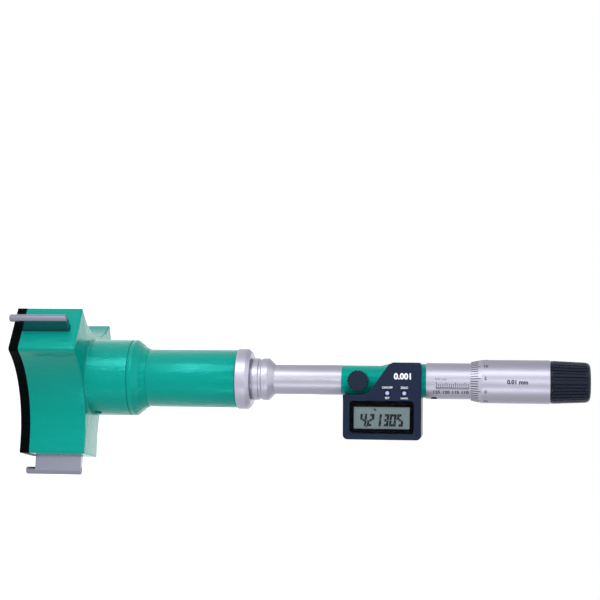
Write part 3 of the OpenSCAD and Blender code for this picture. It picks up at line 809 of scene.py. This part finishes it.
class BuildBarrel(bpy.types.Operator):
    """Turns the neck tube, the coupling ring and the barrel"""
    bl_idname = "micrometer.barrel"
    bl_label = "Neck tube and barrel"

    def execute(self, context):
        f = finishes(context)
        _, _, shoulder = reach("head_body")
        r, low, high = reach("neck_tube")
        bore, plug_r = 11.05 * MM, 12.53 * MM
        lip_r, lip_end = 9 * MM, low + 2 * MM
        tube = lathe("neck_tube_look", rounded([
            (lip_r, low, 0), (plug_r, low, 0), (plug_r, shoulder, 0), (r, shoulder),
            (r, high, 0.55 * MM), (bore, high, 0), (bore, lip_end, 0), (lip_r, lip_end, 0)],
            0.3 * MM))
        settle(paint(tube, f["green"]), "frame", "green", "neck_tube")

        r, low, start = reach("coupling_ring")
        cut = 1.9 * MM
        ring = lathe("coupling_ring_look", rounded([
            (bore, low, 0), (r, low, 0.7 * MM), (r, start - cut), (r - cut, start),
            (bore, start, 0)], 0.35 * MM))
        settle(paint(ring, f["satin"]), "frame", "satin", "coupling_ring")

        r, low, _ = reach("barrel")
        _, stop, _ = reach("display_housing")
        plug_r = bore - 0.02 * MM
        gap_r, gap_end = r - 0.9 * MM, start + 0.8 * MM
        waist_r, waist, waist_end = r - 0.55 * MM, start + 4.1 * MM, start + 5.9 * MM
        slope = 0.2 * MM
        collar_end = start + 9.4 * MM
        slim_r, slim_start = 8 * MM, collar_end + 3.3 * MM
        spigot_r, spigot_end = 6.38 * MM, stop + 6.4 * MM
        guide_r, guide_end, inner_r = 4.06 * MM, low + 8 * MM, 5 * MM
        barrel = lathe("barrel_look", rounded([
            (guide_r, low, 0), (plug_r, low, 0), (plug_r, start, 0), (gap_r, start, 0),
            (gap_r, gap_end, 0), (r, gap_end), (r, waist), (waist_r, waist + slope),
            (waist_r, waist_end - slope), (r, waist_end), (r, collar_end, 0.8 * MM),
            (slim_r, slim_start, 1.2 * MM), (slim_r, stop, 0.2 * MM), (spigot_r, stop, 0),
            (spigot_r, spigot_end, 0), (inner_r, spigot_end, 0), (inner_r, guide_end, 0),
            (guide_r, guide_end, 0)], 0.25 * MM))
        settle(paint(barrel, f["satin"]), "frame", "satin", "barrel")

        text_size, text_turn, text_z = 2.3 * MM, math.radians(272), 155 * MM
        words = printed("barrel_engraving", [
            (flat_text("100 - 125 mm    0.001 mm", text_size, strips=TEXT_STRIPS),
             on_round(slim_r + PRINT_RISE, text_turn, text_z))], f["faint"])
        settle(words, "frame", "satin")
        return {"FINISHED"}


class BuildDisplay(bpy.types.Operator):
    """Builds the display housing with its panel, window, buttons and lock knob"""
    bl_idname = "micrometer.display"
    bl_label = "Display"

    def execute(self, context):
        s, f = context.scene.micrometer_sizes, finishes(context)
        block_x = 9.4 * MM
        housing = dressed("display_housing", 0.4 * MM, 3, 34)
        paint(housing, f["green_smooth"]).data.materials.append(f["navy"])
        # The block behind the panel is navy, and the round part stays green
        for face in housing.data.polygons:
            if face.center.x > block_x:
                face.material_index = 1
        settle(housing, "frame", "green", "display_housing")
        panel = dressed("front_panel", s.panel_edge, 3, 34)
        settle(paint(panel, f["navy"]), "frame", "navy", "front_panel")
        for node, edge, key in (("display_window", 0.15, "window"), ("display_mask", 0.05, "mask"),
                                ("lcd_panel", 0.05, "lcd")):
            settle(paint(dressed(node, edge * MM), f[key]), "frame", key, node)
        knob = dressed("lock_knob", 0.6 * MM, 3, 40)
        weld(knob.data)
        settle(paint(knob, f["rubber"]), "lock", "rubber", "lock_knob")
        for node, body in (("button_left", "button_1"), ("button_right", "button_2")):
            button = dressed(node, 0.3 * MM, 3)
            weld(button.data)
            settle(paint(button, f["button"]), body, "rubber", node)
        cap = dressed("battery_cap", 0.3 * MM, 3)
        settle(paint(cap, f["rubber"]), "battery_door", "rubber", "battery_cap")
        screws = dressed("housing_screws", 0.08 * MM)
        settle(paint(screws, f["steel"]), "frame", "steel", "housing_screws")
        return {"FINISHED"}


class BuildPrint(bpy.types.Operator):
    """Prints the panel's lettering and the display's figures"""
    bl_idname = "micrometer.lettering"
    bl_label = "Lettering"

    def panel(self, f):
        """The panel's words and the dark rings round its buttons."""
        lo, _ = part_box("front_panel")
        front = lo.y - PRINT_RISE
        title_size, title_x, title_z = 4.4 * MM, -2.4 * MM, 206.3 * MM
        word_size, bold, over, under = 1.55 * MM, 0.012, 2.9 * MM, 2.6 * MM
        ring_in, ring_out = 1.14 * MM, 1.95 * MM
        words = [(flat_text("0.001", title_size, 0.035), on_panel(title_x, title_z, front))]
        rings = []
        for node, above, below in (("button_left", "ON/OFF", "SET"),
                                   ("button_right", "ZERO", "mm/in")):
            a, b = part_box(node)
            x, z = (a.x + b.x) / 2, (a.z + b.z) / 2
            words.append((flat_text(above, word_size, bold), on_panel(x - over, z, front)))
            words.append((flat_text(below, word_size, bold), on_panel(x + under, z, front)))
            rings.append((flat_ring(ring_in, ring_out), on_panel(x, z, front)))
        settle(printed("panel_lettering", words, f["white"]), "frame", "navy")
        settle(printed("button_rings", rings, f["ring"]), "frame", "navy")

    def reading(self, s, f):
        """The reading at rest, with its point after the first figure, and its unit."""
        lo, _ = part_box("lcd_panel")
        face = lo.y - 0.02 * MM
        digits, pitch = "421305", 3.9 * MM
        x, z = 20.8 * MM, 195 * MM
        unit_size, unit_x, unit_z = 2 * MM, 15.2 * MM, z - 3.6 * MM
        dot = 0.34 * MM
        foot = s.digit_h / 2 + 1.1 * dot
        first = z - (len(digits) - 1) / 2 * pitch
        items = [(figure(digit, s.digit_h), on_panel(x, first + k * pitch, face))
                 for k, digit in enumerate(digits)]
        items.append((bar(2 * dot, 2 * dot),
                      on_panel(x + foot, first + pitch / 2 - SLANT * foot - dot, face)))
        items.append((flat_text("in", unit_size, 0.05), on_panel(unit_x, unit_z, face)))
        settle(printed("display_figures", items, f["ink"]), "frame", "lcd")

    def execute(self, context):
        s, f = context.scene.micrometer_sizes, finishes(context)
        self.panel(f)
        self.reading(s, f)
        return {"FINISHED"}


class BuildThimble(bpy.types.Operator):
    """Turns the sleeve and the thimble and draws their scales"""
    bl_idname = "micrometer.thimble"
    bl_label = "Sleeve and thimble"

    def sleeve(self, s, f):
        """The sleeve with its spanner hole, whose inside gets painted shade."""
        r, low, high = reach("sleeve")
        _, _, start = reach("display_housing")
        stem_bore, stem_r, stem_end = 4.9 * MM, 6.98 * MM, 226 * MM
        bore = 6.95 * MM
        hole_r, hole_in, hole_out = 1.8 * MM, r - 2.4 * MM, r + 3 * MM
        hole_turn, hole_up = math.radians(109), 4.2 * MM
        sleeve = lathe("sleeve_look", rounded([
            (stem_bore, low, 0), (stem_r, low, 0), (stem_r, start, 0), (r, start), (r, high),
            (bore, high, 0), (bore, stem_end, 0), (stem_bore, stem_end, 0)], 0.2 * MM))
        side = sideways(s.arm_turn + hole_turn, start + hole_up)
        combine(sleeve, rod("hole", hole_r, hole_in, hole_out, side, 32), "DIFFERENCE")
        shade(sleeve.data)
        paint(sleeve, f["satin"])
        # The inside of the spanner hole takes the dark ink finish as painted shade
        paint_deep(sleeve, f["ink"], side, hole_r + 0.1 * MM, r - 0.02 * MM)
        settle(sleeve, "frame", "satin", "sleeve")

    def sleeve_scale(self, f):
        """The datum line with its marks and figures, up to the thimble's edge."""
        r, _, _ = reach("sleeve")
        _, edge, _ = reach("thimble")
        skin = r + PRINT_RISE
        largest, feed_left, fives = 125, 17.99 * MM, 4
        # The thimble's edge stands here at the largest reading
        first = edge - feed_left
        line_l, line_w, overlap = 19.6 * MM, 0.28 * MM, 0.6 * MM
        tick_w, tick_cuts = 0.26 * MM, 6
        figure_size, figure_down = 2.7 * MM, 2.8 * MM
        unit_size, unit_up, unit_along = 1.7 * MM, 4.6 * MM, 2.5 * MM
        marks = [printed("datum", [(bar(line_l, line_w), on_round(skin, DATUM, first - overlap))],
                         f["ink"])]
        for name, start, stop, count, gap in (
                ("halves", -0.14, -1.0, 35, 0.5), ("ones", 0.14, 2.2, 18, 1.0),
                ("fives", 2.2, 3.0, fives, 5.0)):
            tick = printed(name, [(bar(tick_w, abs(stop - start) * MM, tick_cuts),
                                   on_round(skin, DATUM - (start + stop) * MM / 2 / r, first))],
                           f["ink"])
            marks.append(repeat(tick, count, f["ink"], step=(0, 0, gap * MM)))
        figures = [(flat_text(str(largest - 5 * k), figure_size, 0.03, TEXT_STRIPS),
                    on_round(skin, DATUM + figure_down / r, first + 5 * k * MM))
                   for k in range(fives)]
        figures.append((flat_text("0.01 mm", unit_size, strips=TEXT_STRIPS),
                        on_round(skin, DATUM - unit_up / r, first + unit_along)))
        marks.append(printed("figures", figures, f["ink"]))
        settle(merge("sleeve_scale", marks), "frame", "satin")

    def thimble(self, s, f):
        """The thimble with its sloping edge and its scale."""
        r, low, high = reach("thimble")
        bore, wall, spindle_r = 9.95 * MM, high - 6.3 * MM, 4.02 * MM
        edge_r, flat = 10.25 * MM, low + 6.1 * MM
        thimble = lathe("thimble_look", rounded([
            (bore, low, 0), (edge_r, low, 0.08 * MM), (r, flat, 1.2 * MM), (r, high),
            (spindle_r, high, 0), (spindle_r, wall, 0), (bore, wall, 0)], 0.3 * MM))
        settle(paint(thimble, f["satin"]), "thimble", "satin", "thimble")

        slope = (r - edge_r) / (flat - low)
        turn = 2 * math.pi / s.ticks
        zero = DATUM + turn
        line_w, figure_size, figure_along = 0.4 * MM, 2.6 * MM, 1.9 * MM
        unit_size, unit_turn, unit_z = 3.1 * MM, math.radians(270), high - 17 * MM
        marks = []
        for name, start, stop, step in (("lines", 0.2, 4.1, 1), ("line_ends", 4.1, 5.4, 5)):
            tick = printed(name, [(bar((stop - start) * MM, line_w),
                                   on_round(edge_r + PRINT_RISE + start * MM * slope, zero,
                                            low + start * MM, slope))], f["ink"])
            marks.append(repeat(tick, s.ticks // step, f["ink"], turn=-turn * step))
        figures = [(flat_text(str(k), figure_size, 0.02, TEXT_STRIPS),
                    on_round(r + PRINT_RISE, zero - turn * k, flat + figure_along))
                   for k in range(0, s.ticks, 5)]
        figures.append((flat_text("0.01 mm", unit_size, 0.04, TEXT_STRIPS),
                        on_round(r + PRINT_RISE, unit_turn, unit_z)))
        marks.append(printed("figures", figures, f["ink"]))
        settle(merge("thimble_scale", marks), "thimble", "satin")

    def execute(self, context):
        s, f = context.scene.micrometer_sizes, finishes(context)
        self.sleeve(s, f)
        self.sleeve_scale(f)
        self.thimble(s, f)
        return {"FINISHED"}


class BuildRatchet(bpy.types.Operator):
    """Turns the ratchet cap and sets its ribs round it"""
    bl_idname = "micrometer.ratchet"
    bl_label = "Ratchet cap"

    def execute(self, context):
        s, f = context.scene.micrometer_sizes, finishes(context)
        r, low, high = reach("ratchet_cap")
        end_r, round_r, round_steps = 10.6 * MM, 2.6 * MM, 8
        first, last = low + 1.2 * MM, high - round_r
        deep, ease = 0.6 * MM, 0.3 * MM
        socket_r, socket_end = 7 * MM, low + 8 * MM
        screw_r, recess_r, recess_low = 2.46 * MM, 4.6 * MM, high - 4.6 * MM
        lean = (r - end_r) / (last - low)

        def skin(z):
            """Radius of the ribs' crowns at a height."""
            return r - lean * (z - low)

        corner = [(end_r - round_r + round_r * math.cos(t), last + round_r * math.sin(t), 0)
                  for t in (math.pi / 2 * k / round_steps for k in range(1, round_steps + 1))]
        body = lathe("ratchet_body", rounded([
            (screw_r, socket_end, 0), (socket_r, socket_end, 0), (socket_r, low, 0), (r, low),
            (skin(first), first, 0.1 * MM), (skin(first) - deep, first + ease, 0.1 * MM),
            (skin(last) - deep, last - ease, 0), (skin(last), last, 0), *corner,
            (recess_r, high, 0), (recess_r, recess_low, 0), (screw_r, recess_low, 0)], 0.25 * MM))
        paint(body, f["cap"])

        rib_share, rib_end = 0.7, last + 0.05 * MM
        half = math.pi / s.ribs * rib_share
        foot, side, top = deep + 0.1 * MM, 0.35 * deep, 0.04 * deep
        section = ((-1.15, foot), (-1.0, side), (-0.72, top), (0, 0), (0.72, top), (1.0, side),
                   (1.15, foot))
        bm = bmesh.new()
        rows = []
        for z in (first, rib_end):
            row = []
            for t, sink in section:
                out = skin(z) - sink
                row.append(bm.verts.new((out * math.cos(t * half), out * math.sin(t * half), z)))
            rows.append(row)
        for k in range(len(section)):
            n = (k + 1) % len(section)
            bm.faces.new([rows[0][k], rows[0][n], rows[1][n], rows[1][k]])
        for row in rows:
            bm.faces.new(row)
        ribs = repeat(from_bmesh("rib", bm, 50), s.ribs, f["cap"], turn=2 * math.pi / s.ribs)
        settle(merge("ratchet_look", [body, ribs]), "ratchet", "cap", "ratchet_cap")
        return {"FINISHED"}


class BuildInside(bpy.types.Operator):
    """Gives the pieces inside, which keep their CAD shape, their finishes"""
    bl_idname = "micrometer.inside"
    bl_label = "Inside pieces"

    def execute(self, context):
        f = finishes(context)
        kinds = {
            "brass": ("guide_bush", "spindle_nut", "friction_washer", "lock_pad", "encoder_rotor"),
            "board": ("circuit_board", "encoder_stator"),
            "steel": ("spring_pins", "coin_cell", "cone", "push_rod", "thrust_ball",
                      "spindle", "ratchet_spring", "ratchet_screw"),
        }
        for key, names in kinds.items():
            for name in names:
                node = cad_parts[name]
                paint(node, f[key])
        return {"FINISHED"}


class BuildSprings(bpy.types.Operator):
    """Makes the springs that sit between two bodies, each a shortened copy of its CAD node"""
    bl_idname = "micrometer.springs"
    bl_label = "Springs"

    def spring(self, node, mat, first, second, axis):
        """A spring shortened about its middle along an axis, so that its end coils stay clear; the
        first and second bodies are not used.
        """
        shrink, lead_share = 0.1, 0.15
        obj = paint(dressed(node, 0), mat)
        along = [v.co.dot(axis) for v in obj.data.vertices]
        low, high = min(along), max(along)
        for v, a in zip(obj.data.vertices, along):
            v.co += axis * shrink * ((low + high) / 2 - a)
        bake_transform(obj)
        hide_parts(node)

    def execute(self, context):
        s, f = context.scene.micrometer_sizes, finishes(context)
        self.spring("rod_spring", f["steel"], "frame", "push_rod", Vector((0, 0, 1)))
        for k, arm in enumerate(ARMS):
            a = s.arm_turn + k * THIRD
            self.spring("return_spring_" + arm, f["steel"], "anvil_" + arm, "frame",
                        Vector((math.cos(a), math.sin(a), 0)))
        return {"FINISHED"}


class BuildStage(bpy.types.Operator):
    """Sets the floor, the soft lights, the white surroundings and the camera"""
    bl_idname = "micrometer.stage"
    bl_label = "Stage"

    def seen(self, nodes, links):
        """One where the camera, a reflection or a look through glass meets the surroundings."""
        path = nodes.new("ShaderNodeLightPath")
        either, all_three = nodes.new("ShaderNodeMath"), nodes.new("ShaderNodeMath")
        either.operation = all_three.operation = "MAXIMUM"
        links.new(path.outputs["Is Camera Ray"], either.inputs[0])
        links.new(path.outputs["Is Glossy Ray"], either.inputs[1])
        links.new(either.outputs[0], all_three.inputs[0])
        links.new(path.outputs["Is Transmission Ray"], all_three.inputs[1])
        return all_three

    def floor(self):
        """A wide pale floor just below the object, which looks white and keeps the shadow."""
        half_width, drop, pale, glow_level = 80, 0.3 * MM, 0.95, 0.765
        bm = bmesh.new()
        bmesh.ops.create_grid(bm, x_segments=1, y_segments=1, size=half_width)
        bmesh.ops.translate(bm, verts=bm.verts, vec=(0, 0, -drop))
        floor = from_bmesh("floor", bm)
        mat = bpy.data.materials.new("PaleFloor")
        mat.use_nodes = True
        nodes, links = mat.node_tree.nodes, mat.node_tree.links
        bsdf = nodes["Principled BSDF"]
        preset(bsdf, {"Base Color": (pale, pale, pale, 1), "Roughness": 0.9,
                      "Specular IOR Level": 0.1, "Emission Color": (1, 1, 1, 1)})
        glow = nodes.new("ShaderNodeMath")
        glow.operation = "MULTIPLY"
        preset(glow, {1: glow_level})
        links.new(self.seen(nodes, links).outputs[0], glow.inputs[0])
        links.new(glow.outputs[0], bsdf.inputs["Emission Strength"])
        paint(floor, mat)

    def world(self, scene):
        """Surroundings that look white and light the object only a little."""
        light_level, seen_level = 0.24, 1.0
        world = bpy.data.worlds.new("Studio")
        scene.world = world
        world.use_nodes = True
        nodes, links = world.node_tree.nodes, world.node_tree.links
        back = nodes["Background"]
        level = nodes.new("ShaderNodeMix")
        level.data_type = "FLOAT"
        preset(level, {2: light_level, 3: seen_level})
        links.new(self.seen(nodes, links).outputs[0], level.inputs[0])
        links.new(level.outputs[0], back.inputs["Strength"])
        preset(back, {"Color": (1, 1, 1, 1)})

    def lamp(self, name, place, target, size, power):
        """A soft rectangular lamp that faces its target."""
        data = bpy.data.lights.new(name, "AREA")
        data.shape, data.size, data.size_y, data.energy = "RECTANGLE", size[0], size[1], power
        obj = link(name, data)
        obj.location = place
        obj.rotation_euler = (Vector(target) - Vector(place)).to_track_quat("-Z", "Y").to_euler()

    def camera(self, scene):
        """The photograph's view: the picture's right is up the axis, and its top is -X."""
        place, target = Vector((-0.01967, -0.86341, 0.26255)), Vector((-0.04298, -0.0011, 0.14951))
        roll, focal_pixels, picture_pixels = 0.00808, 1609.02, 600
        data = bpy.data.cameras.new("camera")
        data.sensor_width = 36
        data.lens = data.sensor_width * focal_pixels / picture_pixels
        data.clip_start, data.clip_end = 0.01, 200
        back = (place - target).normalized()
        right = Vector((-1, 0, 0)).cross(back).normalized()
        axes = Matrix((right, back.cross(right), back)).transposed().to_4x4()
        camera = link("camera", data)
        camera.matrix_world = Matrix.Translation(place) @ axes @ Matrix.Rotation(roll, 4, "Z")
        scene.camera = camera

    def execute(self, context):
        scene = context.scene
        self.floor()
        self.world(scene)
        middle, foot = (0, 0, 0.15), (0, 0, 0.05)
        self.lamp("key", (-0.78, -0.7, 0.32), middle, (0.36, 0.9), 4.8)
        self.lamp("front", (-0.1, -1.15, 0.45), middle, (0.22, 0.8), 2.9)
        self.lamp("low", (0.7, -0.75, 0.35), middle, (0.2, 0.7), 2.3)
        self.lamp("strip", (-0.24, -0.26, 0.03), foot, (0.2, 0.05), 0.36)
        self.lamp("top", (-0.05, -0.1, 0.95), foot, (1.2, 0.9), 4.8)
        self.lamp("back", (0.2, 1.2, 0.5), middle, (1.2, 0.9), 2.5)
        self.camera(scene)
        scene.view_settings.view_transform = "Standard"
        return {"FINISHED"}


class MicrometerPanel(bpy.types.Panel):
    """Lists the sizes, the colours and the steps that build the micrometer"""
    bl_idname = "VIEW3D_PT_micrometer"
    bl_label = "Inside micrometer"
    bl_space_type = "VIEW_3D"
    bl_region_type = "UI"
    bl_category = "Micrometer"

    def draw(self, context):
        for group in (context.scene.micrometer_sizes, context.scene.micrometer_colours):
            for key in group.__annotations__:
                self.layout.prop(group, key)
        for step in STEPS:
            self.layout.operator(step.bl_idname)


STEPS = (BuildHead, BuildBarrel, BuildDisplay, BuildPrint, BuildThimble, BuildRatchet,
         BuildInside, BuildSprings, BuildStage)
CLASSES = (MicrometerSizes, MicrometerColours, *STEPS, MicrometerPanel)


def register():
    """Makes the steps and the settings known to Blender."""
    for cls in CLASSES:
        bpy.utils.register_class(cls)
    bpy.types.Scene.micrometer_sizes = PointerProperty(type=MicrometerSizes)
    bpy.types.Scene.micrometer_colours = PointerProperty(type=MicrometerColours)


def unregister():
    """Takes the settings and the steps out again."""
    del bpy.types.Scene.micrometer_sizes
    del bpy.types.Scene.micrometer_colours
    for cls in reversed(CLASSES):
        bpy.utils.unregister_class(cls)


def main():
    """Builds the whole object."""
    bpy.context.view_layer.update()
    register()
    bpy.ops.micrometer.head()
    bpy.ops.micrometer.barrel()
    bpy.ops.micrometer.display()
    bpy.ops.micrometer.lettering()
    bpy.ops.micrometer.thimble()
    bpy.ops.micrometer.ratchet()
    bpy.ops.micrometer.inside()
    bpy.ops.micrometer.springs()
    bpy.ops.micrometer.stage()


if __name__ == "__main__":
    main()
